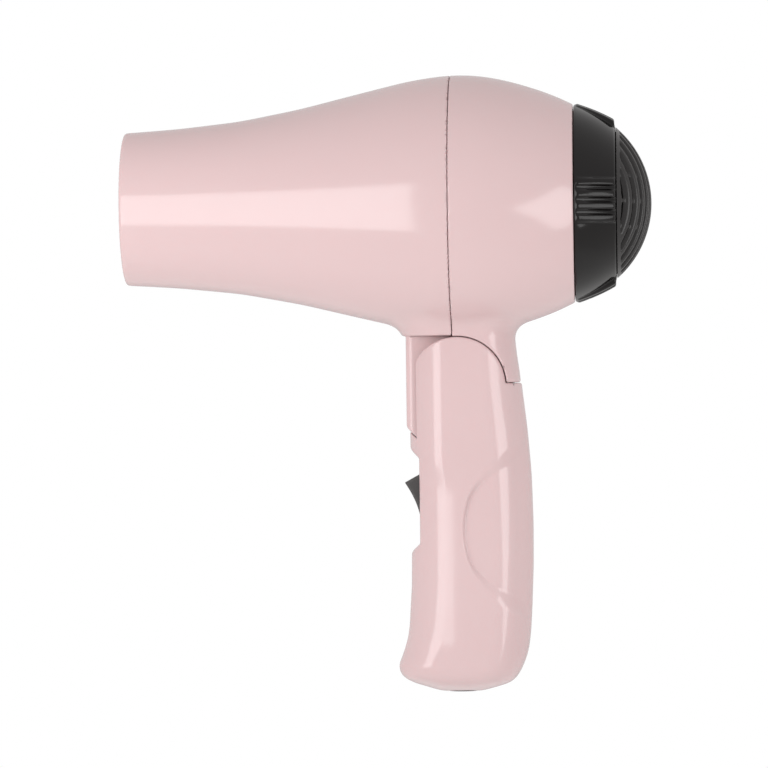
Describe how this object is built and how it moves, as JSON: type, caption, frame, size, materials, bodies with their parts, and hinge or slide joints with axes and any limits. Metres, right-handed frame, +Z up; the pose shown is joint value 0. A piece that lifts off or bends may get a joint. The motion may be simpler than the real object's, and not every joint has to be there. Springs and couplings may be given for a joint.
{
  "type": "hair dryer",
  "caption": "Compact hair dryer with a flared round barrel, slatted domed air inlet, folding handle and rocker switch.",
  "frame": {"origin": "middle of the handle where a hand grips it, straight below the fold pivot", "axes": "-X along the barrel towards the nozzle, +Z up towards the barrel, Y across the handle and along the fold pivot"},
  "size_m": [0.1579, 0.0778, 0.1848],
  "materials": {
    "pink_gloss": "glossy",
    "black_gloss": "glossy",
    "dark_grey_satin": "satin",
    "duct_grey": "matte",
    "screen_grey": "matte",
    "fan_plastic": "satin",
    "steel": "plain",
    "brass": "plain",
    "mica": "matte",
    "heating_wire": "plain",
    "board_green": "matte",
    "lead_red": "satin",
    "lead_blue": "satin",
    "soft_black": "satin"
  },
  "bodies": {
    "handle": {"handle_near": "pink_gloss", "handle_far": "pink_gloss", "handle_screw_1": "steel", "handle_screw_2": "steel", "handle_screw_3": "steel", "pivot_pin": "steel", "rocker_pin": "steel", "switch_body": "black_gloss", "terminal_1": "brass", "terminal_2": "brass", "terminal_3": "brass", "cord_gland": "soft_black", "cord_clamp": "dark_grey_satin", "lead_live": "lead_red", "lead_neutral": "lead_blue"},
    "housing": {"front_shell": "pink_gloss", "rear_shell": "pink_gloss", "outlet_grille": "black_gloss", "fan_duct": "duct_grey", "motor_can": "steel", "diode_board": "board_green", "diode_1": "black_gloss", "diode_2": "black_gloss", "diode_3": "black_gloss", "diode_4": "black_gloss", "capacitor": "dark_grey_satin", "mica_tube": "mica", "heater_board_upright": "mica", "heater_board_flat": "mica", "heater_coil": "heating_wire", "thermostat": "steel", "thermal_fuse": "brass"},
    "rear_cap": {"rear_collar": "black_gloss", "inlet_grille": "black_gloss", "lint_filter": "screen_grey", "dust_foam": "soft_black"},
    "fan": {"impeller": "fan_plastic", "motor_shaft": "steel"},
    "rocker": {"rocker": "dark_grey_satin"}
  },
  "joints": [
    {"name": "handle_fold", "type": "hinge", "parent": "handle", "child": "housing", "pos_m": [0, 0, 0.055], "axis": [0, -1, 0], "range_deg": [0, 82]},
    {"name": "switch_rock", "type": "hinge", "parent": "handle", "child": "rocker", "pos_m": [-0.0085, 0, 0.022], "axis": [0, 1, 0], "range_deg": [0, 24]},
    {"name": "rear_cap_twist", "type": "hinge", "parent": "housing", "child": "rear_cap", "pos_m": [0.0355, 0, 0.1091], "axis": [1, 0, 0], "range_deg": [0, 20]},
    {"name": "fan_spin", "type": "hinge", "parent": "housing", "child": "fan", "pos_m": [0.02, 0, 0.1091], "axis": [1, 0, 0], "continuous": true}
  ]
}
